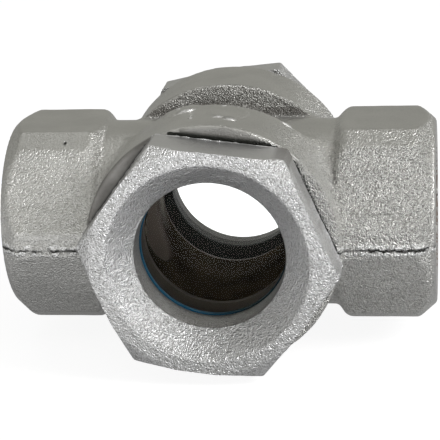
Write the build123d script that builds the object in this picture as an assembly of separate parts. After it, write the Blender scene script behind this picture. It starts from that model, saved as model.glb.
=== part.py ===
from build123d import *
import os
from math import cos, radians, sin, sqrt, tan

# In-line sight glass for a one inch pipe: a cast body with two threaded hex ends,
# and two round glass windows, each held in its boss by a screwed hex cap.
# X runs along the flow, Y runs through the windows, Z is up, and the axes cross at the origin.
# Every size is in millimetres.

# Cast body
face_to_face = 114.0
neck_d = 50.4
waist_d = 52.0
boss_d = 66.2
boss_faces = 61.6
boss_length = 21.1
boss_rim_round = 0.9
groove_round = 1.8
cast_round = 2.2

# Threaded hex ends
hex_across_flats = 52.6
hex_corner_land = 6.7
hex_corner_round = 0.4
hex_length = 26.4
hex_back_angle = 55.0
flare_round = 3.0
flare_bury = 0.4
end_face_d = 49.0
end_chamfer_angle = 49.0
pipe_thread_root_d = 33.2
pipe_thread_depth = 19.0
pipe_runout = 3.0
mouth_chamfer = 1.0

# Passages and window seats
flow_bore_d = 26.6
chamber_d = 39.0
cap_thread_d = 54.0
seat_span = 30.6
boss_mouth_chamfer = 0.6

# Window glass and its gaskets
glass_d = 47.0
glass_thickness = 9.5
glass_edge_chamfer = 0.5
gasket_d = 46.6
seal_hole_d = 39.8
seal_thickness = 1.5
cushion_hole_d = 38.2
cushion_thickness = 1.0

# Window caps
cap_across_flats = 58.6
cap_head = 11.5
cap_gap = 0.5
cap_corner_round = 1.0
cap_corner_cut = 3.93
cap_corner_angle = 31.0
cap_face_round = 0.8
cap_face_land = 3.35
cone_depth = 7.0
cone_edge_round = 0.6
view_bore_d = 38.8
cap_thread_clearance = 0.1
pocket_clearance = 0.3
skirt_end_gap = 1.2
relief_width = 1.6
relief_depth = 0.9
front_cap_turn = -7.3
rear_cap_turn = -8.9

# Places worked out from the sizes above
half_length = face_to_face / 2
boss_face = boss_faces / 2
seat = seat_span / 2
glass_inner = seat + seal_thickness
glass_outer = glass_inner + glass_thickness
shoulder = glass_outer + cushion_thickness
cap_under = boss_face + cap_gap
cap_face = cap_under + cap_head
hex_apothem = hex_across_flats / 2
land_apothem = hex_apothem / cos(radians(30)) - hex_corner_land / (2 * sqrt(3))
neck_end = half_length - hex_length

# Each piece is made standing on Z and then turned to its own side
FRONT = Rot(90, 0, 0)
REAR = Rot(-90, 0, 0)
OUTLET = Rot(0, 90, 0)
INLET = Rot(0, -90, 0)


def disc(outer_d, low, high):
    """A plain disc on the Z axis between two heights."""
    return Pos(0, 0, low) * Cylinder(outer_d / 2, high - low, align=(Align.CENTER, Align.CENTER, Align.MIN))


def ring(outer_d, hole_d, low, high):
    """A flat ring on the Z axis between two heights."""
    return disc(outer_d, low, high) - disc(hole_d, low, high)


def turned(profile):
    """A solid turned about Z from (radius, height) points."""
    return revolve(Plane.XZ * make_face(Polyline(*profile, close=True)), Axis.Z)


def hex_section(apothem):
    """A hexagon with its corners on the X axis, ready to be turned or cut."""
    return RegularPolygon(apothem, 6, major_radius=False)


def flow_half():
    """The outside of the casting along half of the flow axis, standing on Z: it flares from just
    under the neck's skin to a hexagon with flattened cast corners, coned down to a round face."""
    neck_r = neck_d / 2 - flare_bury
    past_corners = hex_apothem / cos(radians(30))
    back_run = (past_corners - neck_r) / tan(radians(hex_back_angle))
    back_slope = (past_corners - neck_r) / sin(radians(hex_back_angle))
    widest_round = 0.9 * back_slope / tan(radians(hex_back_angle / 2))
    chamfer_run = (past_corners - end_face_d / 2) / tan(radians(end_chamfer_angle))
    outline = make_face(Polyline(
        (0, 0),
        (neck_r, 0),
        (neck_r, neck_end),
        (past_corners, neck_end + back_run),
        (past_corners, half_length - chamfer_run),
        (end_face_d / 2, half_length),
        (0, half_length),
        close=True,
    ))
    inside_corner = outline.vertices().sort_by_distance(Vector(neck_r, neck_end))[0]
    outline = fillet(inside_corner, min(flare_round, widest_round))
    section = Rot(0, 0, 30) * hex_section(hex_apothem) & hex_section(land_apothem)
    section = fillet(section.vertices(), hex_corner_round)
    return extrude(section, half_length) & revolve(Plane.XZ * outline, Axis.Z)


def pipe_bore():
    """The hole of one end, standing on Z: a chamfered mouth, the thread bore, its runout cone
    and the flow bore to the middle of the body."""
    thread_r = pipe_thread_root_d / 2
    flow_r = flow_bore_d / 2
    thread_end = half_length - pipe_thread_depth
    return turned([
        (0, 0),
        (flow_r, 0),
        (flow_r, thread_end - pipe_runout),
        (thread_r, thread_end),
        (thread_r, half_length - mouth_chamfer),
        (thread_r + 2 * mouth_chamfer, half_length + mouth_chamfer),
        (0, half_length + mouth_chamfer),
    ])


def boss_groove():
    """The groove that parts the two bosses, standing on Z: rounded where its walls run into the
    waist, and carried out past the blends of the bosses."""
    boss_back = boss_face - boss_length
    waist_r = waist_d / 2
    outline = make_face(Polyline(
        (waist_r, -boss_back),
        (boss_d, -boss_back),
        (boss_d, boss_back),
        (waist_r, boss_back),
        close=True,
    ))
    waist_corners = outline.vertices().group_by(Axis.X)[0]
    widest_round = 0.9 * min(boss_back, boss_d / 2 - waist_r)
    outline = fillet(waist_corners, min(groove_round, widest_round))
    return revolve(Plane.XZ * outline, Axis.Z)


def window_bosses():
    """The outside of both window bosses, standing on Z, blended into the neck that crosses them
    and parted by a groove down to the waist. Neck and bosses are turned so that the seam of
    neither one crosses the blend."""
    neck = Rot(0, 90, 90) * Cylinder(neck_d / 2, face_to_face - hex_length)
    crossed = neck + Rot(0, 0, 90) * disc(boss_d, -boss_face, boss_face)
    saddles = [edge for edge in crossed.edges() if edge.geom_type not in (GeomType.CIRCLE, GeomType.LINE)]
    boss_standing = boss_face - neck_d / 2
    blended = fillet(saddles, min(cast_round, boss_standing / 2))
    circles = blended.edges().filter_by(GeomType.CIRCLE).group_by(Axis.Z)
    rounded = fillet(circles[0] + circles[-1], min(boss_rim_round, boss_standing / 3))
    return rounded - (boss_groove() - neck)


def window_bore():
    """The hole of one window, standing on Z: the chamber, the gasket seat and the cap thread."""
    thread_r = cap_thread_d / 2
    return turned([
        (0, 0),
        (chamber_d / 2, 0),
        (chamber_d / 2, seat),
        (thread_r, seat),
        (thread_r, boss_face - boss_mouth_chamfer),
        (thread_r + 2 * boss_mouth_chamfer, boss_face + boss_mouth_chamfer),
        (0, boss_face + boss_mouth_chamfer),
    ])


def body():
    """The one-piece casting, machined for both pipes and both windows."""
    casting = FRONT * window_bosses()
    for flow_end in (OUTLET, INLET):
        casting += flow_end * flow_half()
    for flow_end in (OUTLET, INLET):
        casting -= flow_end * pipe_bore()
    for window in (FRONT, REAR):
        casting -= window * window_bore()
    return casting


def cap(turn):
    """A window cap standing on Z: a hex head with a coned sight hole, and a screwed skirt that
    reaches round the glass and bears on it through the cushion gasket. One turned outline, from the
    skirt to the face and back down the sight hole, is cut by a hexagonal blank."""
    apothem = cap_across_flats / 2
    past_corners = apothem / cos(radians(30))
    hexagon = Rot(0, 0, turn) * hex_section(apothem)
    hexagon = fillet(hexagon.vertices(), cap_corner_round)
    blank = Pos(0, 0, cap_under) * extrude(hexagon, cap_head)
    blank = fillet(blank.edges().group_by(Axis.Z)[-1], min(cap_face_round, 0.9 * cap_corner_round))
    blank += disc(cap_thread_d, 0, cap_under)
    skirt_r = cap_thread_d / 2 - cap_thread_clearance
    skirt_end = seat + skirt_end_gap
    pocket_r = glass_d / 2 + pocket_clearance
    relief_r = skirt_r - relief_depth
    lead = relief_depth
    corner_drop = cap_corner_cut * tan(radians(cap_corner_angle))
    face_corner = (past_corners - cap_corner_cut, cap_face)
    cone_mouth = (apothem - cap_face_land, cap_face)
    cone_foot = (view_bore_d / 2, cap_face - cone_depth)
    outline = make_face(Polyline(
        (pocket_r, skirt_end),
        (skirt_r - lead, skirt_end),
        (skirt_r, skirt_end + lead),
        (skirt_r, cap_under - relief_width - relief_depth),
        (relief_r, cap_under - relief_width),
        (relief_r, cap_under),
        (past_corners, cap_under),
        (past_corners, cap_face - corner_drop),
        face_corner,
        cone_mouth,
        cone_foot,
        (view_bore_d / 2, shoulder),
        (pocket_r, shoulder),
        close=True,
    ))
    rounds = {face_corner: cap_face_round, cone_mouth: cone_edge_round, cone_foot: cone_edge_round}
    for edge, edge_round in rounds.items():
        outline = fillet(outline.vertices().sort_by_distance(Vector(*edge))[0], edge_round)
    return blank & revolve(Plane.XZ * outline, Axis.Z)


def window_glass():
    """A thick round window with ground edges, standing on Z."""
    blank = disc(glass_d, glass_inner, glass_outer)
    return chamfer(blank.edges().filter_by(GeomType.CIRCLE), glass_edge_chamfer)


def seal_gasket():
    """The flat ring between the body's seat and the glass."""
    return ring(gasket_d, seal_hole_d, seat, glass_inner)


def cushion_gasket():
    """The flat ring between the glass and the cap's shoulder. Its edge shows in the sight hole."""
    return ring(gasket_d, cushion_hole_d, glass_outer, shoulder)


def write_node(name, shape):
    """Writes one named piece and says how large it is."""
    shape.label = name
    export_step(shape, f"parts/{name}.step")
    size = shape.bounding_box().size
    print(f"{name}: {shape.volume:.0f} mm3, {size.X:.2f} x {size.Y:.2f} x {size.Z:.2f} mm")


os.makedirs("parts", exist_ok=True)
write_node("body", body())
for side, place, turn in (("front", FRONT, front_cap_turn), ("rear", REAR, rear_cap_turn)):
    write_node(f"{side}_cap", place * cap(turn))
    write_node(f"{side}_glass", place * window_glass())
    write_node(f"{side}_seal_gasket", place * seal_gasket())
    write_node(f"{side}_cushion_gasket", place * cushion_gasket())
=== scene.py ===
import math

import bpy
import numpy as np
from mathutils import Matrix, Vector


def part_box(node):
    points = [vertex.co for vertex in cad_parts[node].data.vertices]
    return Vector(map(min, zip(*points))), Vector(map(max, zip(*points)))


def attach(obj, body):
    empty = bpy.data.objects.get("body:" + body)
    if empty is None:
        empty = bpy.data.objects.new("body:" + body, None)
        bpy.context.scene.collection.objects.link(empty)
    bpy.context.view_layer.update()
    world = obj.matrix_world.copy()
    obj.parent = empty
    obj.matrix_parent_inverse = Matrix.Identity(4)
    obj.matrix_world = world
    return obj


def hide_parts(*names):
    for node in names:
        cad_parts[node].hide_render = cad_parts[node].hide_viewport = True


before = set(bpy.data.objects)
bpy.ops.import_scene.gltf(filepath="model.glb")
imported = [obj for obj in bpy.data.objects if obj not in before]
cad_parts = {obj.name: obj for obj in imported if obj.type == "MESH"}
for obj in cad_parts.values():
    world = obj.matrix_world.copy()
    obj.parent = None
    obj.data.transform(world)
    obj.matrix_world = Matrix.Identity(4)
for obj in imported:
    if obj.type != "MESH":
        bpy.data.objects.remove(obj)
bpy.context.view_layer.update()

# The cast body. One sand casting in iron: a neck with a hexagonal socket for the pipe at each end,
# crossed by two round bosses for the windows. It was bored and threaded, then sprayed with silver paint.
# Its skin is the zero surface of a distance formula, so that all its cast corners run into each other.

body_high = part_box("body")[1]
half_length = body_high.x
boss_face = body_high.y
boss_radius = body_high.z
boss_back = boss_face - 0.0211
neck_radius = 0.0252
neck_end = half_length - 0.0264
waist_radius = 0.026
hex_apothem = 0.0263
hex_corner_land = 0.0067
land_apothem = hex_apothem / math.cos(math.radians(30)) - hex_corner_land / (2 * math.sqrt(3))
hex_back_angle = math.radians(55)
end_face_radius = 0.0245
end_chamfer_angle = math.radians(49)

pipe_thread_root = 0.0166
pipe_thread_end = half_length - 0.019
pipe_runout = 0.003
pipe_mouth = 0.001
flow_radius = 0.0133
chamber_radius = 0.0195
window_seat = 0.0153
window_bore = 0.027
boss_mouth = 0.0006
chamber_past_seat = 0.001

blend_of_bosses = 0.0021
blend_of_waist = 0.0006
blend_of_hex = 0.0006
round_of_hex_corner = 0.0004
round_of_hex_back = 0.0013
round_of_hex_edge = 0.0006
round_of_boss_rim = 0.0009
round_of_bore = 0.0003
round_of_core = 0.0012
skin_step = 0.00078


def both(a, b, r):
    """The common part of two solids from their distances: the greater of the two, with the edge
    between them turned to a round of radius r."""
    return np.minimum(np.maximum(a, b), -r) + np.hypot(np.maximum(a + r, 0), np.maximum(b + r, 0))


def either(a, b, r):
    """The sum of two solids from their distances: the lesser of the two, with a fillet of radius r."""
    return -both(-a, -b, r)


def ramp(value, start, end):
    """The share of the way that a value has come from start to end, held between 0 and 1."""
    return np.clip((value - start) / (end - start), 0, 1)


def plane_waves(seed, count, longest, shortest):
    """Directions, wave numbers and phases of a few waves that run every way through space."""
    draw = np.random.default_rng(seed)
    way = draw.normal(size=(3, count))
    way /= np.linalg.norm(way, axis=0)
    number = 2 * np.pi / np.exp(draw.uniform(np.log(shortest), np.log(longest), count))
    return way * number, draw.uniform(0, 2 * np.pi, count)


def unevenness(x, y, z, waves):
    """A smooth random height near -1 to 1: the sum of plane waves, each the sine of its phase."""
    numbers, phases = waves
    total = np.zeros(np.shape(x))
    for kx, ky, kz, phase in zip(*numbers, phases):
        total += np.sin(kx * x + ky * y + kz * z + phase)
    return total / math.sqrt(len(phases) / 2) / 2


def flow_axis(u, y, z):
    """Distance to the neck and one hexagonal end, u from the middle: a spindle, which is the neck with
    the cone at the back of the end, cut by the hexagon with its flats up and down, by the hexagon of
    its cast corner lands, and by the cone and the plane of its face."""
    y, z = np.abs(y), np.abs(z)
    r = np.hypot(y, z)
    flats = np.maximum(z, math.cos(math.radians(30)) * y + 0.5 * z) - hex_apothem
    lands = np.maximum(y, 0.5 * y + math.cos(math.radians(30)) * z) - land_apothem
    back = (r - neck_radius) * math.cos(hex_back_angle) - (u - neck_end) * math.sin(hex_back_angle)
    past_face, past_rim = u - half_length, r - end_face_radius
    cone = past_face * math.cos(end_chamfer_angle) + past_rim * math.sin(end_chamfer_angle)
    spindle = either(r - neck_radius, back, blend_of_hex)
    blank = both(both(flats, lands, round_of_hex_corner), spindle, round_of_hex_back)
    return both(both(blank, cone, round_of_hex_edge), past_face, round_of_hex_edge)


def outside(x, y, z):
    """Distance to the outside of the casting: neck and ends, bosses and waist, joined by fillets."""
    u, v = np.abs(x), np.abs(y)
    across = np.hypot(x, z)
    rim = both(across - boss_radius, v - boss_face, round_of_boss_rim)
    boss = both(rim, boss_back - v, round_of_hex_corner)
    waist = np.maximum(across - waist_radius, v - 0.5 * (boss_back + boss_face))
    return either(boss, either(flow_axis(u, y, z), waist, blend_of_waist), blend_of_bosses)


def inside(x, y, z):
    """Distance to the hollow: both pipe bores with their runout cones and mouths, the chamber
    between the windows, and the two bores that the caps screw into."""
    u, v = np.abs(x), np.abs(y)
    r = np.hypot(y, z)
    across = np.hypot(x, z)
    flow = r - flow_radius
    slope = math.atan2(pipe_thread_root - flow_radius, pipe_runout)
    runout = (r - pipe_thread_root) * math.cos(slope) + (pipe_thread_end - u) * math.sin(slope)
    bore = both(r - pipe_thread_root, runout, round_of_bore)
    mouth = (r - pipe_thread_root - 2 * pipe_mouth + (half_length + pipe_mouth - u)) * math.sqrt(0.5)
    pipe = either(either(flow, bore, round_of_bore), mouth, round_of_bore)
    chamber = both(across - chamber_radius, v - window_seat - chamber_past_seat, round_of_bore)
    cored = either(flow, chamber, round_of_core)
    window = both(across - window_bore, window_seat - v, round_of_bore)
    lip = (across - window_bore - 2 * boss_mouth + (boss_face + boss_mouth - v)) * math.sqrt(0.5)
    return np.minimum(np.minimum(pipe, cored), np.minimum(window, lip))


body_waves = plane_waves(seed=11, count=36, longest=0.018, shortest=0.005)
seam_waves = plane_waves(seed=5, count=24, longest=0.009, shortest=0.0016)
wave_height = 0.00005
skin_sink = 0.00012
seam_at = -0.0008
seam_height = 0.0003
seam_width = 0.0007
seam_drift = 0.0003
seam_fade = 0.004
turned_depth = 0.0006
cast_fade = 0.0008
# Place, half length, radius and rise of the button and of the pad.
boss_forms = ((0.0038, -0.0163, 0.0004, 0.0056, 0.00045), (-0.0092, -0.0098, 0.0010, 0.0050, 0.00048))
boss_dish = 0.00045
boss_dish_radius = 0.0075


def raised_forms(x, y, z):
    """Height of the round button and the pad on top of the front boss: each has a slot-shaped plan,
    and its height falls as the sixth power of the distance from its middle. The button lies in a
    dish, whose depth falls as a bell curve."""
    height = 0.0
    for form_x, form_y, long, radius, rise in boss_forms:
        far = np.hypot(x - form_x, np.maximum(np.abs(y - form_y) - long, 0))
        height = np.maximum(height, rise * np.maximum(1 - (far / radius) ** 6, 0))
    middle_x, middle_y = boss_forms[0][:2]
    dish = boss_dish * np.exp(-((x - middle_x) ** 2 + (y - middle_y) ** 2) / boss_dish_radius ** 2)
    return (height - dish) * (z > 0) * (y < 0)


def casting(x, y, z):
    """Distance to the whole casting: the outside, made a little uneven, with the button, the pad and
    the seam, less the hollow. The two halves of the mould leave the seam near mid height: a ridge
    shaped as a bell curve, with a ragged height and level. The faces of the ends are turned, so the
    unevenness and the seam stop there."""
    cast = ramp(np.abs(x), half_length - turned_depth, half_length - turned_depth - cast_fade)
    ragged = unevenness(x, y, z, seam_waves)
    seam = np.exp(-(((z - seam_at - seam_drift * ragged) / seam_width) ** 2)) * (0.6 + 0.4 * ragged)
    beyond = ramp(np.hypot(x, y), chamber_radius, chamber_radius + seam_fade)
    raised = wave_height * unevenness(x, y, z, body_waves) + seam_height * seam * beyond
    skin = outside(x, y, z) + skin_sink - cast * raised - raised_forms(x, y, z)
    return both(skin, -inside(x, y, z), round_of_bore)


def slope_of(solid, points):
    """The value and the slope of a distance formula at some points, the slope by central differences."""
    reach = 0.00002
    value = solid(*points.T)
    steps = np.eye(3) * reach
    slope = np.stack([solid(*(points + s).T) - solid(*(points - s).T) for s in steps], 1) / (2 * reach)
    return value, slope


def skin_of(solid, low, high, step):
    """Corners, faces and normals of the surface on which a distance formula is zero. A grid of
    points fills the box. Each cell that the surface crosses gets one corner, at the mean of the
    crossings on its twelve edges, and each grid edge that it crosses gets a face between the four
    cells around it. The corners then move along the slope until the formula is zero."""
    axes = [np.arange(lo - step, hi + 2 * step, step) for lo, hi in zip(low, high)]
    value = solid(*np.meshgrid(*axes, indexing="ij"))
    cells = np.array(value.shape) - 1
    found, crossings, quads = [], [], []
    for axis in range(3):
        first = np.take(value, np.arange(cells[axis]), axis)
        last = np.take(value, np.arange(1, cells[axis] + 1), axis)
        at = np.argwhere((first < 0) != (last < 0))
        v0, v1 = first[tuple(at.T)], last[tuple(at.T)]
        point = np.stack([axes[k][at[:, k]] for k in range(3)], 1)
        point[:, axis] += step * v0 / (v0 - v1)
        b, c = (axis + 1) % 3, (axis + 2) % 3
        around = np.repeat(at[:, None], 4, 1)
        around[:, :, b] -= np.array([0, 1, 1, 0])
        around[:, :, c] -= np.array([0, 0, 1, 1])
        ring = np.ravel_multi_index(tuple(np.moveaxis(around, 2, 0)), cells)
        found.append(ring.ravel())
        crossings.append(np.repeat(point, 4, 0))
        quads.append(np.where((v0 < 0)[:, None], ring, ring[:, ::-1]))
    used, where = np.unique(np.concatenate(found), return_inverse=True)
    where = where.ravel()
    crossings = np.concatenate(crossings)
    counts = np.bincount(where)
    corners = np.stack([np.bincount(where, crossings[:, k]) / counts for k in range(3)], 1)
    faces = np.searchsorted(used, np.concatenate(quads))
    longest = 0.3 * step
    for _ in range(4):
        miss, slope = slope_of(solid, corners)
        move = miss / np.maximum((slope ** 2).sum(1), 0.25)
        corners -= np.clip(move, -longest, longest)[:, None] * slope
    normals = slope_of(solid, corners)[1]
    return corners, faces, normals / np.linalg.norm(normals, axis=1, keepdims=True)


def make_piece(name, corners, faces, normals, **measures):
    """A smooth-shaded mesh object with its normals and its point measures. A face with two corners in
    one place becomes a triangle."""
    mesh = bpy.data.meshes.new(name)
    pinched = (faces == np.roll(faces, 1, 1)).any(1)
    fans = [list(dict.fromkeys(face)) for face in faces[pinched].tolist()]
    whole = faces[~pinched].tolist()
    mesh.from_pydata(corners.tolist(), [], whole + [fan for fan in fans if len(fan) == 3])
    mesh.shade_smooth()
    mesh.normals_split_custom_set_from_vertices(normals.tolist())
    for measure, values in measures.items():
        attribute = mesh.attributes.new(measure, "FLOAT", "POINT")
        attribute.data.foreach_set("value", np.ascontiguousarray(values, np.float32))
    piece = bpy.data.objects.new(name, mesh)
    bpy.context.scene.collection.objects.link(piece)
    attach(piece, "root")
    return piece


def closed_in(solid, corners, normals, reach):
    """How far each point is closed in, 0 to 1: stepping out along the normal, the distance to the
    solid grows as fast as the step on an open face, and slower in a corner."""
    total = np.zeros(len(corners))
    steps = reach * np.array([0.35, 0.7, 1.0])
    for out in steps:
        total += 1 - solid(*(corners + normals * out).T) / out
    return np.clip(total / len(steps), 0, 1)


def smoother_above(normals):
    """How much of its grain a skin shows by which way it faces: all of it on the sides, and a tenth
    where it faces up."""
    return 1 - 0.9 * ramp(normals[:, 2], 0.671875, 0.984375)


body_corners, body_faces, body_normals = skin_of(
    casting, *(np.array(corner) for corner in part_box("body")), skin_step)
body_x, body_y, body_z = body_corners.T
body_across, body_bearing = np.hypot(body_x, body_z), np.arctan2(body_z, body_x)
crease_reach = 0.004
cap_apothem = 0.0293
cap_turns = {"front": math.radians(-7.3), "rear": math.radians(-8.9)}
front_sides = cap_turns["front"] + np.radians(30 + 60 * np.arange(6))
rear_sides = -cap_turns["rear"] + np.radians(30 + 60 * np.arange(6))
from_front, from_rear = (
    (np.outer(body_x, np.cos(sides)) + np.outer(body_z, np.sin(sides))).max(1) - cap_apothem
    for sides in (front_sides, rear_sides))
from_cap = np.where(body_y < 0, from_front, from_rear)
far_from_cap = 0.01
boss_shade_middle = math.radians(118)

# How far each point lies on the turned faces, on the back of the rear boss, in the upper left of the front
# boss, beside and above a cap, and on the pipe bore's edge. The back of the rear boss and the places on the
# front boss carry painted shade, and the pipe bore's edge a painted highlight.
on_boss_face = (np.abs(np.abs(body_y) - boss_face) < 0.0004) & (body_across > window_bore)
near_boss_face = ramp(-body_y, boss_face - 0.0035, boss_face - 0.001)
end_face = ramp(np.abs(body_x), half_length - 0.0015, half_length - 0.0007)
rear_boss_back = ramp(np.abs(body_y - boss_back), 0.0015, 0) * (body_normals[:, 1] < -0.3)
upper_left_shade = ramp(np.cos(body_bearing - boss_shade_middle), 0.45, 0.65) * (body_y < 0)
above_cap = ramp(np.cos(body_bearing - front_sides[1]), 0.84, 0.89)
beside_cap = ramp(from_cap, 0.0025, 0)
# Painted shade on the front boss face round the cap: darker in its upper left, above the cap and beside it.
boss_shade = upper_left_shade * (
    on_boss_face * (0.5 + 0.3 * beside_cap) * above_cap
    + near_boss_face * (0.75 + 0.2 * beside_cap) * (1 - above_cap))
# The pipe passage's edge in the chamber, on its left and lower side, gets a painted highlight in the
# hollows' material, and the pipe passage itself painted light.
bore_edge = ramp(np.abs(body_across - chamber_radius - 0.0006), 0.0009, 0)
lit_edge = (np.hypot(body_y, body_z) < flow_radius + 0.002) * (body_x < 0) * ramp(body_z, -0.009, 0)
body_hollow = ramp(inside(*body_corners.T), 0.0005, 0)
# The first measure below is painted shade for the paint: in creases and corners that closed_in finds closed
# in, on the groove face of the rear boss, and round the front cap.
cast_body = make_piece(
    "cast_body", body_corners, body_faces, body_normals,
    closed=np.maximum(closed_in(outside, body_corners, body_normals, crease_reach), boss_shade)
    + 0.6 * rear_boss_back,
    passage=ramp(body_across, chamber_radius + 0.001, chamber_radius + 0.002),
    lip=bore_edge * lit_edge,
    # Distance from a cap on the boss faces, for the painted shadow along the cap's edge; above the cap it
    # is made shorter, which widens that shadow.
    from_cap=np.where(
        on_boss_face, from_cap * (1 - 0.3 * above_cap) + 0.0004 * (1 - above_cap), far_from_cap),
    coarse=(1 + 0.3 * np.tanh(body_x / 0.02)) * smoother_above(body_normals) * (1 - 0.7 * end_face)
    + 0.5 * rear_boss_back - 0.85 * near_boss_face * upper_left_shade,
)
print("cast_body", len(body_corners), "corners,", 2 * len(body_faces), "triangles")


class Nodes:
    """The nodes of one material or group, added by a short call each and wired by name."""

    def __init__(self, tree):
        self.tree = tree
        tree.nodes.clear()

    def add(self, kind, settings=(), **inputs):
        """A node with its settings and its inputs: a number or colour, or another node's socket."""
        node = self.tree.nodes.new(kind)
        for name, value in dict(settings).items():
            setattr(node, name, value)
        for name, value in inputs.items():
            key = int(name[1:]) if name[1:].isdigit() else name.replace("_", " ")
            socket = node.inputs[key]
            if isinstance(value, bpy.types.NodeSocket):
                self.tree.links.new(value, socket)
            else:
                socket.default_value = value
        return node

    def math(self, operation, *values):
        """A Math node's result."""
        inputs = {f"i{k}": value for k, value in enumerate(values)}
        return self.add("ShaderNodeMath", {"operation": operation}, **inputs).outputs[0]

    def span(self, value, low, high, to_low=0.0, to_high=1.0):
        """A value carried from one range to another and held inside it."""
        return self.add(
            "ShaderNodeMapRange", {"clamp": True}, Value=value, From_Min=low, From_Max=high, To_Min=to_low,
            To_Max=to_high).outputs[0]

    def noise(self, place, scale, detail, roughness=0.5):
        """A Noise Texture's value, its scale in grains to the metre."""
        return self.add(
            "ShaderNodeTexNoise", Vector=place, Scale=scale, Detail=detail, Roughness=roughness).outputs[0]

    def mix(self, share, first, second):
        """Two colours mixed by a share."""
        node = self.add("ShaderNodeMix", {"data_type": "RGBA"}, i0=share, i6=first, i7=second)
        return node.outputs[2]

    def measure(self, name):
        """One of the point measures that the piece's own mesh carries."""
        return self.add("ShaderNodeAttribute", {"attribute_name": name}).outputs["Fac"]


def new_material(name):
    """An empty material and its Nodes."""
    material = bpy.data.materials.new(name)
    material.use_nodes = True
    return material, Nodes(material.node_tree)


def new_group(name, inputs, outputs):
    """An empty shader node group with named sockets, its Nodes and its input node."""
    group = bpy.data.node_groups.new(name, "ShaderNodeTree")
    nodes = Nodes(group)
    for socket, (kind, value) in inputs.items():
        made = group.interface.new_socket(name=socket, in_out="INPUT", socket_type=kind)
        if value is not None:
            made.default_value = value
    for socket, kind in outputs.items():
        group.interface.new_socket(name=socket, in_out="OUTPUT", socket_type=kind)
    return group, nodes, nodes.add("NodeGroupInput").outputs


FLOAT, VECTOR = "NodeSocketFloat", "NodeSocketVector"


def make_cast_grain():
    """The grain of a sand-cast skin under paint: rounded grains over a slow swell, as a height of some
    tenths up and down times Coarse, masks of the grains' tops and of the pits between them, and a
    slow cloudiness."""
    group, nodes, given = new_group(
        "cast_grain",
        {"Vector": (VECTOR, None), "Grain": (FLOAT, 0.0003), "Coarse": (FLOAT, 1.0)},
        {"Height": FLOAT, "Pits": FLOAT, "Tops": FLOAT, "Cloud": FLOAT})
    per_metre = nodes.math("DIVIDE", 1.0, given["Grain"])
    grains = nodes.noise(given["Vector"], per_metre, 1.0, 0.55)
    swell = nodes.noise(given["Vector"], nodes.math("MULTIPLY", per_metre, 0.4), 1.0, 0.55)
    cloud = nodes.noise(given["Vector"], 90.0, 4.0, 0.55)
    together = nodes.math("MULTIPLY_ADD", swell, 0.4, grains)
    centred = nodes.math("SUBTRACT", together, 0.7)
    nodes.add(
        "NodeGroupOutput", Height=nodes.math("MULTIPLY", centred, given["Coarse"]),
        Pits=nodes.span(together, 0.66, 0.50), Tops=nodes.span(together, 0.70, 0.86),
        Cloud=nodes.span(cloud, 0.3, 0.7))
    return group


cast_grain = make_cast_grain()
grain_size = 0.00042
body_grain_depth = 0.0007
crack_at = -0.0014
crack_drift = 0.0022
crack_depth = 0.00025
flash_levels = (crack_at + 0.0011, crack_at - 0.0008)
flash_height = 0.0003
# Place, turn, half lengths and rise of each mark: bars and dots on the front boss, and one pit.
mould_marks = [
    ((-0.0074, -0.0142, 0.0325), 0.37, (0.0028, 0.0013, 0.003), 0.0011),
    ((-0.0100, -0.0108, 0.0320), 0.00, (0.0009, 0.0013, 0.003), 0.0007),
    ((-0.0052, -0.0216, 0.0326), 0.00, (0.0007, 0.0014, 0.003), 0.0007),
    ((0.0051, -0.0226, 0.0327), 0.10, (0.0021, 0.0014, 0.003), 0.0010),
    ((0.0018, -0.0218, 0.0330), 0.00, (0.0018, 0.0009, 0.003), 0.0004),
    ((0.0022, -0.0112, 0.0333), 0.00, (0.0010, 0.0014, 0.003), 0.0007),
    ((0.0184, -0.0106, 0.0274), 0.30, (0.0021, 0.0012, 0.003), 0.0011),
    ((-0.0399, -0.0150, 0.0242), 0.00, (0.0005, 0.0007, 0.002), -0.0004),
]


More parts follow.
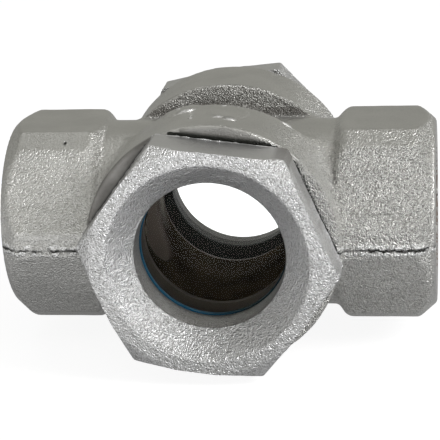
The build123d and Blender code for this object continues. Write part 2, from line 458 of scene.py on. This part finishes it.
def make_mould_marks():
    """What the mould left on the casting: the marks, each an oval dome, and along the seam a fine
    wandering crack with broken flash above and below it. Height is in metres. One mask covers the
    raised marks, which the paint makes near white as wear and a painted glint; Flash covers the
    flash, which the paint makes near white as a painted highlight; and Dark the pit and the crack."""
    group, nodes, given = new_group(
        "mould_marks", {"Vector": (VECTOR, None)},
        {"Height": FLOAT, "Worn": FLOAT, "Flash": FLOAT, "Dark": FLOAT})
    height, wear_and_glint, flash, dark = 0.0, 0.0, 0.0, 0.0
    for place, turn, half, rise in mould_marks:
        local = nodes.add(
            "ShaderNodeMapping", {"vector_type": "TEXTURE"}, Vector=given["Vector"], Location=place,
            Rotation=(0, 0, turn), Scale=half).outputs[0]
        far = nodes.add("ShaderNodeVectorMath", {"operation": "LENGTH"}, Vector=local).outputs["Value"]
        dome = nodes.span(far, 1.0, 0.45)
        height = nodes.math("MULTIPLY_ADD", dome, rise, height)
        if rise > 0:
            wear_and_glint = nodes.math("MAXIMUM", dome, wear_and_glint)
        else:
            dark = dome
    z = nodes.add("ShaderNodeSeparateXYZ", Vector=given["Vector"]).outputs[2]
    drift = nodes.noise(given["Vector"], 700.0, 3.0, 0.6)
    broken = nodes.noise(given["Vector"], 260.0, 3.0, 0.6)
    wandering = nodes.math("MULTIPLY_ADD", nodes.math("SUBTRACT", drift, 0.5), crack_drift, z)
    off = nodes.math("ABSOLUTE", nodes.math("SUBTRACT", wandering, crack_at))
    crack = nodes.math("MULTIPLY", nodes.span(off, 0.0005, 0.0002), nodes.span(broken, 0.38, 0.56))
    height = nodes.math("MULTIPLY_ADD", crack, -crack_depth, height)
    dark = nodes.math("MAXIMUM", crack, dark)
    for level in flash_levels:
        off = nodes.math("ABSOLUTE", nodes.math("SUBTRACT", wandering, level))
        fin = nodes.math("MULTIPLY", nodes.span(off, 0.0009, 0.0003), nodes.span(broken, 0.42, 0.52))
        height = nodes.math("MULTIPLY_ADD", fin, flash_height, height)
        flash = nodes.math("MAXIMUM", fin, flash)
    nodes.add("NodeGroupOutput", Height=height, Worn=wear_and_glint, Flash=flash, Dark=dark)
    return group


body_silver = (0.58, 0.577, 0.56, 1)
wear_glint_white = (0.95, 0.95, 0.95, 1)
pit_grey = (0.20, 0.195, 0.18, 1)
# Painted shade is brown and painted shadow nearly black; the crack and the pit take that black too.
shade_brown = (0.085, 0.075, 0.062, 1)
gap_shadow_black = (0.014, 0.015, 0.012, 1)


def make_silver_paint(name, colour, depth, marks=None):
    """Silver paint on cast iron: flakes in a clear binder, so mostly metallic. It is brighter on the
    tops of the grains and darker in the pits. It goes near white on the raised marks, as wear and a
    painted glint, and on the flash, as a painted highlight; brown as painted shade where the casting
    is closed in and round a cap; and nearly black as painted shadow in and beside the gap along a
    cap, and in the pit and the crack of the seam."""
    material, nodes = new_material(name)
    place = nodes.add("ShaderNodeTexCoord").outputs["Object"]
    coarse, closed = nodes.measure("coarse"), nodes.measure("closed")
    skin = nodes.add(
        "ShaderNodeGroup", {"node_tree": cast_grain}, Vector=place, Grain=grain_size, Coarse=coarse).outputs
    duller = tuple(0.86 * c for c in colour[:3]) + (1,)
    brighter = tuple(1.12 * c for c in colour[:3]) + (1,)
    clouded = nodes.mix(skin["Cloud"], colour, duller)
    topped = nodes.mix(nodes.math("MULTIPLY", skin["Tops"], coarse), clouded, brighter)
    pits = nodes.math("MULTIPLY", nodes.math("MULTIPLY", skin["Pits"], coarse), 0.5)
    paint = nodes.mix(pits, topped, pit_grey)
    height = nodes.math("MULTIPLY", skin["Height"], depth)
    wear_and_glint, crack = 0.0, 0.0
    if marks:
        made = nodes.add("ShaderNodeGroup", {"node_tree": marks}, Vector=place).outputs
        # Painted glints, partly wear: the raised marks and the flash go near white.
        wear_and_glint = nodes.math("MULTIPLY", made["Worn"], nodes.math("MULTIPLY_ADD", skin["Tops"], 0.6, 0.4))
        flash = nodes.math("MULTIPLY", made["Flash"], nodes.span(skin["Height"], -0.1, 0.1, 0.3, 1))
        paint = nodes.mix(nodes.math("MAXIMUM", wear_and_glint, flash), paint, wear_glint_white)
        height = nodes.math("ADD", height, made["Height"])
        crack = made["Dark"]
    # Painted shade, in brown, by how far the casting is closed in and by the shade marked round the caps.
    shade_mask = nodes.span(nodes.math("MULTIPLY_ADD", skin["Cloud"], 0.2, closed), 0.35, 0.95)
    paint = nodes.mix(nodes.math("MULTIPLY", shade_mask, 0.75), paint, shade_brown)
    # Painted shadow, nearly black: within about a millimetre of a cap's edge, where the painted shade is
    # deepest, and in the crack.
    ragged = nodes.math("MULTIPLY_ADD", skin["Height"], 0.0012, nodes.measure("from_cap"))
    gap = nodes.math("MAXIMUM", nodes.span(ragged, 0.0011, 0.0004), nodes.span(closed, 1.2, 1.6))
    gap = nodes.math("MAXIMUM", gap, crack)
    shiny = nodes.span(nodes.math("MAXIMUM", shade_mask, gap), 0.0, 1.0, 0.9, 0.3)
    bump = nodes.add("ShaderNodeBump", Strength=1.0, Distance=1.0, Height=height).outputs[0]
    shader = nodes.add(
        "ShaderNodeBsdfPrincipled", Base_Color=nodes.mix(gap, paint, gap_shadow_black),
        Metallic=nodes.math("MULTIPLY_ADD", wear_and_glint, -0.5, shiny),
        Roughness=nodes.span(skin["Cloud"], 0.0, 1.0, 0.31, 0.35), Normal=bump).outputs[0]
    nodes.add("ShaderNodeOutputMaterial", Surface=shader)
    return material


def make_core_iron():
    """The cored and bored hollows: dull bare iron, painted nearly black in the chamber as shade, paler
    in the pipe passage as painted light from its open end, and paler still at the passage's edge in
    the chamber as a painted highlight."""
    material, nodes = new_material("core_iron")
    place = nodes.add("ShaderNodeTexCoord").outputs["Object"]
    skin = nodes.add(
        "ShaderNodeGroup", {"node_tree": cast_grain}, Vector=place, Grain=0.0009, Coarse=1.0).outputs
    chamber = nodes.mix(skin["Cloud"], (0.016, 0.012, 0.008, 1), (0.036, 0.027, 0.017, 1))
    colour = nodes.mix(nodes.measure("passage"), chamber, (0.19, 0.155, 0.135, 1))
    colour = nodes.mix(nodes.measure("lip"), colour, (0.42, 0.39, 0.35, 1))
    bump = nodes.add("ShaderNodeBump", Distance=0.00004, Height=skin["Height"]).outputs[0]
    shader = nodes.add(
        "ShaderNodeBsdfPrincipled", Base_Color=colour, Specular_IOR_Level=0.0,
        Roughness=nodes.span(skin["Cloud"], 0, 1, 0.65, 0.8), Normal=bump).outputs[0]
    nodes.add("ShaderNodeOutputMaterial", Surface=shader)
    return material


body_paint = make_silver_paint("body_silver_paint", body_silver, body_grain_depth, make_mould_marks())
cast_body.data.materials.append(body_paint)
cast_body.data.materials.append(make_core_iron())
hollow_faces = body_hollow[body_faces].min(1) > 0.5
cast_body.data.polygons.foreach_set("material_index", hollow_faces.astype(np.int32))
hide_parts("body")

# The pipe threads. Each end of the casting is tapped with a tapered pipe thread, and keeps bare iron
# there. The thread's flanks are a sleeve that lines the bore.

thread_pitch = 0.00221
thread_crest = 0.01487
thread_taper = 1 / 32
thread_proud = 0.0001
sleeve_bury = 0.0002
thread_around = 144
thread_along = 12


def area_normals(corners, faces):
    """A normal for each corner: the sum of the cross products of the diagonals of the faces round
    it, so that large faces count for more than the narrow ones of a rounded edge."""
    a, b, c, d = (corners[faces[:, k]] for k in range(4))
    cross = np.cross(c - a, d - b)
    total = np.stack(
        [np.bincount(faces.ravel(), np.repeat(cross[:, k], 4), len(corners)) for k in range(3)], 1)
    return total / np.maximum(np.linalg.norm(total, axis=1, keepdims=True), 1e-20)


def threaded_sleeve(end):
    """A closed sleeve in one bore. Inside, its radius swings between root and crest as the phase, the
    depth in pitches less the turn, goes round, and shrinks with depth by the taper. Outside it is plain."""
    deep = half_length - pipe_thread_end
    steps = int(deep / thread_pitch * thread_along)
    turns = np.linspace(0, 2 * np.pi, thread_around, endpoint=False)
    turn, depth = np.meshgrid(turns, np.linspace(0, deep, steps))
    phase = (depth / thread_pitch - turn / (2 * np.pi)) % 1
    flank = ramp(1 - np.abs(2 * phase - 1), 0.1, 0.9)
    started = ramp(depth, 0, 1.2 * thread_pitch)
    root = pipe_thread_root - thread_proud - thread_taper * depth
    radius = root - (pipe_thread_root - thread_crest) * (1 - flank) * started
    inner = np.stack([half_length - pipe_mouth - depth, radius * np.cos(turn), radius * np.sin(turn)], -1)
    outer = inner[[-1, 0]].copy()
    outer[..., 1] = (pipe_thread_root + sleeve_bury) * np.cos(turn[[-1, 0]])
    outer[..., 2] = (pipe_thread_root + sleeve_bury) * np.sin(turn[[-1, 0]])
    return np.concatenate([inner, outer]) * np.array([end, end, 1])


def ring_faces(rings):
    """The faces of a grid that closes on itself both ways, turned to point out of what it encloses."""
    along, around = rings.shape[:2]
    i, j = np.meshgrid(np.arange(along), np.arange(around), indexing="ij")
    beside = (j + 1) % around
    near, far = i * around, (i + 1) % along * around
    faces = np.stack([near + j, near + beside, far + beside, far + j], -1).reshape(-1, 4)
    a, b, c, d = (rings.reshape(-1, 3)[faces[:, k]] for k in range(4))
    volume = (np.cross(c - a, d - b) * (a + c)).sum()
    return faces if volume > 0 else faces[:, ::-1]


def make_ring_piece(name, rings, **measures):
    """A piece from a grid that closes on itself both ways. Corners that lie on each other become one,
    as at the poles of a disc."""
    faces = ring_faces(rings)
    corners = rings.reshape(-1, 3)
    _, kept, where = np.unique(
        np.round(corners / 1e-7), axis=0, return_index=True, return_inverse=True)
    corners, faces = corners[kept], where.ravel()[faces]
    measures = {measure: np.asarray(values)[kept] for measure, values in measures.items()}
    return make_piece(name, corners, faces, area_normals(corners, faces), **measures)


def make_bare_iron():
    """Iron as the tap left it: dark grey, with a slight unevenness and a little rust."""
    material, nodes = new_material("tapped_iron")
    place = nodes.add("ShaderNodeTexCoord").outputs["Object"]
    cloud = nodes.noise(place, 400.0, 5.0, 0.6)
    colour = nodes.mix(nodes.span(cloud, 0.5, 0.75), (0.13, 0.125, 0.12, 1), (0.12, 0.065, 0.035, 1))
    bump = nodes.add("ShaderNodeBump", Distance=0.00008, Height=cloud).outputs[0]
    shader = nodes.add(
        "ShaderNodeBsdfPrincipled", Base_Color=colour, Metallic=nodes.span(cloud, 0.45, 0.7, 0.8, 0.1),
        Roughness=nodes.span(cloud, 0.3, 0.7, 0.35, 0.6), Normal=bump).outputs[0]
    nodes.add("ShaderNodeOutputMaterial", Surface=shader)
    return material


tapped_iron = make_bare_iron()
for end, side in (("outlet", 1), ("inlet", -1)):
    sleeve = make_ring_piece(f"{end}_thread", threaded_sleeve(side))
    sleeve.data.materials.append(tapped_iron)

# The windows. A seal ring lies on each seat in the casting, then a thick glass disc, then a cushion
# ring that the cap presses on. The rings are cut from rubber sheet and the glass is ground.

glass_low, glass_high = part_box("rear_glass")
glass_radius = glass_high.x
glass_rim_round = 0.0006
seat_gap = 0.00005
window_turns = np.linspace(0, 2 * np.pi, 180, endpoint=False)


def rounded_outline(points, rounds, arc=5, longest=0.0012):
    """A closed outline of (radius, depth) points for every angle, with each corner turned to a round:
    a quadratic curve from a point before the corner to one after it, and even steps between rounds."""
    points = np.asarray(points)
    count = len(points)
    share = np.linspace(0, 1, arc)[:, None, None]
    arcs = []
    for k in range(count):
        corner, before, after = points[k], points[k - 1], points[(k + 1) % count]
        ends = []
        for other in (before, after):
            length = np.maximum(np.linalg.norm(other - corner, axis=1, keepdims=True), 1e-9)
            ends.append(corner + (other - corner) / length * np.minimum(rounds[k], 0.45 * length))
        arcs.append((1 - share) ** 2 * ends[0] + 2 * share * (1 - share) * corner + share ** 2 * ends[1])
    parts = []
    for k in range(count):
        start, end = arcs[k][-1], arcs[(k + 1) % count][0]
        steps = int(np.ceil(np.linalg.norm(end - start, axis=1).max() / longest))
        along = (np.arange(1, steps) / max(steps, 1))[:, None, None]
        parts += [arcs[k], start + (end - start) * along]
    return np.concatenate(parts)


def turned_rings(outline, turns, side):
    """An outline of (radius, depth) for every angle, turned about the window axis. side is -1 for
    the front window and 1 for the rear one, which is the front one turned by half about X."""
    radius, depth = outline[..., 0], outline[..., 1]
    return np.stack([radius * np.cos(turns), side * depth, -side * radius * np.sin(turns)], -1)


def same_all_round(points, turns):
    """A turned outline's points, the same at every angle."""
    return np.repeat(np.array(points)[:, None], len(turns), 1)


def make_glass():
    """Clear glass with a ground rim that looks dark green. The camera sees it barely bend the view."""
    material, nodes = new_material("window_glass")
    place = nodes.add("ShaderNodeTexCoord").outputs["Object"]
    across = nodes.add("ShaderNodeVectorMath", {"operation": "MULTIPLY"}, i0=place, i1=(1, 0, 1)).outputs[0]
    radius = nodes.add("ShaderNodeVectorMath", {"operation": "LENGTH"}, Vector=across).outputs["Value"]
    rim = nodes.span(radius, glass_radius - 0.0004, glass_radius - 0.0001)
    colour = nodes.mix(rim, (0.985, 0.995, 0.99, 1), (0.03, 0.075, 0.06, 1))
    shader = nodes.add(
        "ShaderNodeBsdfPrincipled", Base_Color=colour, Roughness=nodes.span(rim, 0, 1, 0.0, 0.5),
        IOR=1.08, Transmission_Weight=1.0, Coat_Weight=0.05, Coat_Roughness=0.02).outputs[0]
    nodes.add("ShaderNodeOutputMaterial", Surface=shader)
    return material


def make_rubber(name, colour, right_colour=None):
    """Cut rubber sheet with a fine mottle and a dull skin, going over to a second colour towards its
    right side if it has one."""
    material, nodes = new_material(name)
    place = nodes.add("ShaderNodeTexCoord").outputs["Object"]
    mottle = nodes.noise(place, 1500.0, 3.0)
    darker = tuple(0.6 * c for c in colour[:3]) + (1,)
    if right_colour:
        x = nodes.add("ShaderNodeSeparateXYZ", Vector=place).outputs[0]
        colour = nodes.mix(nodes.span(x, -0.006, 0.008), colour, right_colour)
        darker = nodes.mix(0.4, colour, (0, 0, 0, 1))
    bump = nodes.add("ShaderNodeBump", Distance=0.00005, Height=mottle).outputs[0]
    shader = nodes.add(
        "ShaderNodeBsdfPrincipled", Base_Color=nodes.mix(mottle, darker, colour), Specular_IOR_Level=0.2,
        Roughness=nodes.span(mottle, 0.3, 0.7, 0.5, 0.7), Normal=bump).outputs[0]
    nodes.add("ShaderNodeOutputMaterial", Surface=shader)
    return material


window_glass = make_glass()
glass_near, glass_far = glass_low.y + seat_gap, glass_high.y - seat_gap
glass_points = [(0.0, glass_near), (glass_radius, glass_near), (glass_radius, glass_far), (0.0, glass_far)]
glass_rounds = [0, glass_rim_round, glass_rim_round, 0]
glass_outline = rounded_outline(same_all_round(glass_points, window_turns), glass_rounds)
blue_rubber = make_rubber("blue_rubber", (0.025, 0.17, 0.31, 1), (0.008, 0.035, 0.045, 1))
# The rear cushion is painted nearly black: painted shade on a ring that is blue rubber like the front one.
shade_rubber = make_rubber("shade_rubber", (0.005, 0.013, 0.012, 1))
brown_rubber = make_rubber("brown_rubber", (0.085, 0.072, 0.064, 1))
for window, side, cushion_rubber in (("front", -1, blue_rubber), ("rear", 1, shade_rubber)):
    disc = make_ring_piece(f"{window}_window", turned_rings(glass_outline, window_turns, side))
    disc.data.materials.append(window_glass)
    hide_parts(f"{window}_glass")
    for gasket, rubber in (("cushion", cushion_rubber), ("seal", brown_rubber)):
        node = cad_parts[f"{window}_{gasket}_gasket"]
        node.data.materials.clear()
        node.data.materials.append(rubber)

# The window caps. Each is a hexagonal head, cast with a coned mouth, over a turned and threaded
# skirt. It screws into its boss until its shoulder squeezes the cushion ring onto the glass.

cap_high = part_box("rear_cap")[1]
cap_face = cap_high.y
cap_under = boss_face + 0.0005
cap_corner_circle = 0.0299
cap_corner_angle = math.radians(31)
cone_mouth_radius = 0.02595
cap_silver = (0.64, 0.64, 0.645, 1)
cap_grain_depth = 0.0006
burr_rise = 0.0003
burr_width = 0.0004
cone_depth = 0.007
view_radius = 0.0194
shoulder = 0.0273
pocket_radius = glass_radius + 0.0003
skirt_radius = window_bore - 0.0001
skirt_bevel = 0.0009
relief_depth = 0.0009
relief_width = 0.0016
skirt_end = window_seat + 0.0012
cap_thread_pitch = 0.0015
cap_thread_height = 0.0008
inside_rounds = [0.0002, 0.0002, 0.0004, 0.0006, 0.0006]
head_rounds = [0.0008, 0.0008, 0.0001, 0.0001, 0.0001]
skirt_rounds = [0.0003] * 5
cap_corner_power = 150
turns_per_side = 48
cap_waves = plane_waves(seed=23, count=36, longest=0.016, shortest=0.004)
cap_wave_height = 0.00006
sight_shade_end = shoulder + 0.0045


def hexagon_turns(turn):
    """Angles round a hexagon with a corner at the angle turn, gathered towards its corners: a share t
    of each side from -1 to 1 becomes (1.5 t - 0.5 t cubed) times thirty degrees."""
    share = np.linspace(-1, 1, turns_per_side, endpoint=False)
    local = math.radians(30) * (1.5 * share - 0.5 * share ** 3)
    return np.concatenate([turn + math.radians(30 + 60 * k) + local for k in range(6)])


def hexagon_reach(turns, turn):
    """A hexagon's radius at each angle: the apothem over a high-power mean of the cosines to its six
    sides, which leaves each corner a little round."""
    sides = turn + np.radians(30 + 60 * np.arange(6))
    cosines = np.maximum(np.cos(turns[:, None] - sides), 0)
    return cap_apothem / (cosines ** cap_corner_power).sum(1) ** (1 / cap_corner_power)


def cap_outline(turns, turn):
    """The cap's outline at every angle, from the pocket's mouth round the shoulder, the sight hole, the
    cone, the face, the hexagon's corner chamfer and side, and the relief, to the end of the skirt."""
    reach = hexagon_reach(turns, turn)
    lip = np.minimum(reach, cap_corner_circle)
    drop = (reach - lip) * math.tan(cap_corner_angle)
    face, under = np.full_like(turns, cap_face), np.full_like(turns, cap_under)
    relief_radius, relief_end = skirt_radius - relief_depth, cap_under - relief_width
    plain = [
        (pocket_radius, skirt_end), (pocket_radius, shoulder), (view_radius, shoulder),
        (view_radius, cap_face - cone_depth), (cone_mouth_radius, cap_face)]
    skirt = [
        (relief_radius, cap_under), (relief_radius, relief_end), (skirt_radius, relief_end - relief_depth),
        (skirt_radius, skirt_end + skirt_bevel), (skirt_radius - skirt_bevel, skirt_end)]
    ragged = burr_rise * np.random.default_rng(7).uniform(0.1, 1.0, len(turns))
    head = [np.stack(point, -1) for point in (
        (lip, face), (reach, face - drop), (reach, under + burr_width),
        (reach + ragged, under + 0.3 * burr_width), (reach, under))]
    points = np.concatenate([same_all_round(plain, turns), np.stack(head), same_all_round(skirt, turns)])
    return rounded_outline(points, inside_rounds + head_rounds + skirt_rounds, longest=0.0008)


def skirt_thread(outline, turns):
    """The skirt's outside with its thread: the radius falls by the thread's height where the phase,
    the depth in pitches less the turn, is furthest from a crest."""
    radius, depth = outline[..., 0], outline[..., 1]
    on_skirt = (np.abs(radius - skirt_radius) < 1e-6) & (depth < cap_under - relief_width)
    phase = (depth / cap_thread_pitch - turns / (2 * np.pi)) % 1
    cut = cap_thread_height * np.abs(2 * phase - 1)
    return np.stack([radius - on_skirt * cut, depth], -1)


cap_paint = make_silver_paint("cap_silver_paint", cap_silver, cap_grain_depth)
for window, side in (("front", -1), ("rear", 1)):
    turn = cap_turns[window]
    turns = hexagon_turns(turn)
    outline = skirt_thread(cap_outline(turns, turn), turns)
    rings = turned_rings(outline, turns, side)
    corners = rings.reshape(-1, 3)
    normals = area_normals(corners, ring_faces(rings))
    radius, depth = outline[..., 0].ravel(), outline[..., 1].ravel()
    on_head = ramp(depth, cap_under - 0.0002, cap_under + 0.0002)
    cast = on_head * ramp(radius, view_radius, view_radius + 0.0004)
    rise = cast * cap_wave_height * (unevenness(*corners.T, cap_waves) - 1.5)
    moved = corners + normals * rise[:, None]

    # Painted shade on two flats behind the face and at one corner of the front cap, on the hidden skirt
    # and in the sight hole, and nearly black painted shade at the start of the rear cap's sight hole.
    bearing = np.arctan2(corners[:, 2], corners[:, 0])
    left_flat = ramp(np.cos(bearing - front_sides[2]), 0.87, 0.89)
    right_flat = ramp(np.cos(bearing - front_sides[0]), 0.87, 0.89) * ramp(bearing, 0, 0.4)
    corner = ramp(np.cos(bearing - turn - math.radians(60)), 0.994, 0.998)
    behind_face = ramp(depth, cap_face - 0.002, cap_face - 0.007)
    behind_chamfer = ramp(depth, cap_face - 0.0018, cap_face - 0.0028)
    flat_shade = (side < 0) * (radius > cap_corner_circle - 0.0005) * np.maximum(
        0.6 * np.maximum(left_flat, right_flat) * behind_face, 0.8 * corner * behind_chamfer)
    cone = (radius < cone_mouth_radius - 0.0005) & (depth > cap_face - cone_depth)
    sight = (radius < view_radius + 0.0002) & (depth < cap_face - cone_depth + 0.0002)
    hidden = ramp(depth, cap_under, cap_under - 0.0006) * (radius > view_radius + 0.001)
    sight_shade = (side > 0) * 1.2 * ramp(depth, sight_shade_end, sight_shade_end - 0.0005)
    cap = make_ring_piece(
        f"{window}_window_cap", moved.reshape(rings.shape),
        closed=flat_shade + hidden + sight * (0.8 + sight_shade),
        from_cap=np.full_like(depth, far_from_cap),
        coarse=np.where(sight, 0.9, np.where(cone, 0.75, smoother_above(normals))))
    cap.data.materials.append(cap_paint)
    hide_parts(f"{window}_cap")
    print(cap.name, 2 * len(cap.data.polygons), "triangles")

# The studio: a white floor and background and soft lamps round the object, most of their light from
# the right. The background is white to the camera and the glass, and dim to the gloss of the paint.

floor_size, floor_height = 6.0, body_high.z
floor_glow = 0.9
pool_way = (-0.2, -1, 0)
pool_start, pool_full = 0.055, 0.11
pool_dim, pool_bright = 0.28, 1.55
sky_gloss, sky_fill = 0.38, 0.3
lamp_distance, lamp_size = 1.0, 0.36
# Turn to the right of the front and rise, in degrees, and power, in watts, of each lamp.
lamps = (
    (40, 12, 0.9), (65, 12, 0.3), (73, 33, 5.8), (60, 54, 1.0), (-30, 12, 0.3), (0, 60, 0.4),
    (-65, 12, 0.3), (-120, 60, 0.5), (-60, 35, 0.25), (130, 35, 0.25))


def make_floor_white():
    """White paper. To the camera and the glass it glows nearly white by itself, and its own surface
    adds the rest and takes the object's shadow. Gloss sees a painted pool of light glow in front of
    the object, a little brighter to its right, and a dim glow near and behind the object, a painted
    shadow of it."""
    material, nodes = new_material("floor_white")
    seen = nodes.add("ShaderNodeLightPath").outputs
    place = nodes.add("ShaderNodeTexCoord").outputs["Object"]
    ahead = nodes.add(
        "ShaderNodeVectorMath", {"operation": "DOT_PRODUCT"}, i0=place, i1=pool_way).outputs["Value"]
    across = nodes.add("ShaderNodeSeparateXYZ", Vector=place).outputs[0]
    pool = nodes.math(
        "MULTIPLY", nodes.span(ahead, pool_start, pool_full, pool_dim, pool_bright),
        nodes.span(across, -0.08, 0.08, 0.9, 1.12))
    straight = nodes.math("MAXIMUM", seen["Is Camera Ray"], seen["Is Transmission Ray"])
    plain = nodes.math("MULTIPLY", straight, floor_glow)
    glow = nodes.math("MULTIPLY_ADD", seen["Is Glossy Ray"], pool, plain)
    shader = nodes.add(
        "ShaderNodeAddShader", i0=nodes.add("ShaderNodeBsdfDiffuse", Color=(0.2, 0.2, 0.2, 1)).outputs[0],
        i1=nodes.add("ShaderNodeEmission", Color=(1, 1, 1, 1), Strength=glow).outputs[0]).outputs[0]
    nodes.add("ShaderNodeOutputMaterial", Surface=shader)
    return material


floor_mesh = bpy.data.meshes.new("floor")
floor_corners = [
    (sx * floor_size, sy * floor_size, -floor_height) for sx, sy in ((-1, -1), (1, -1), (1, 1), (-1, 1))]
floor_mesh.from_pydata(floor_corners, [], [(0, 1, 2, 3)])
floor_mesh.materials.append(make_floor_white())
floor = bpy.data.objects.new("floor", floor_mesh)
bpy.context.scene.collection.objects.link(floor)

world = bpy.data.worlds.new("studio")
bpy.context.scene.world = world
world.use_nodes = True
sky = Nodes(world.node_tree)
seen = sky.add("ShaderNodeLightPath").outputs
plain = sky.math("MAXIMUM", seen["Is Camera Ray"], seen["Is Transmission Ray"])
fill = sky.math("MULTIPLY", seen["Is Diffuse Ray"], sky_fill)
dim = sky.math("MULTIPLY_ADD", seen["Is Glossy Ray"], sky_gloss, fill)
warm = sky.mix(seen["Is Glossy Ray"], (1, 1, 1, 1), (1.0, 0.99, 0.9, 1))
sky.add("ShaderNodeOutputWorld", Surface=sky.add(
    "ShaderNodeBackground", Color=warm, Strength=sky.math("ADD", plain, dim)).outputs[0])


def add_lamp(name, turn, rise, power):
    """A square soft lamp that looks at the middle of the object, turn degrees to the right of the
    front and rise degrees up. Rays through the glass don't see it."""
    data = bpy.data.lights.new(name, "AREA")
    data.size = lamp_size
    data.energy = power
    lamp = bpy.data.objects.new(name, data)
    lamp.visible_transmission = False
    facing = Matrix.Rotation(math.radians(turn), 4, "Z") @ Matrix.Rotation(math.radians(90 - rise), 4, "X")
    lamp.matrix_world = facing @ Matrix.Translation((0, 0, lamp_distance))
    bpy.context.scene.collection.objects.link(lamp)


for turn, rise, power in lamps:
    add_lamp(f"lamp_{turn}_{rise}", turn, rise, power)

# The camera, a long lens at the photograph's place and tilt.

camera_place = (0.063346, -0.456305, 0.154160)
camera_turn, camera_tilt, camera_roll = math.radians(8.141), math.radians(18.777), math.radians(-2.817)
camera_data = bpy.data.cameras.new("camera")
camera_data.sensor_width = 36.0
camera_data.lens = 146.03
camera_data.clip_start = 0.01
camera = bpy.data.objects.new("camera", camera_data)
camera.matrix_world = (
    Matrix.Translation(camera_place)
    @ Matrix.Rotation(camera_turn, 4, "Z")
    @ Matrix.Rotation(math.pi / 2 - camera_tilt, 4, "X")
    @ Matrix.Rotation(camera_roll, 4, "Z")
)
bpy.context.scene.collection.objects.link(camera)
bpy.context.scene.camera = camera
bpy.context.scene.view_settings.view_transform = "Standard"
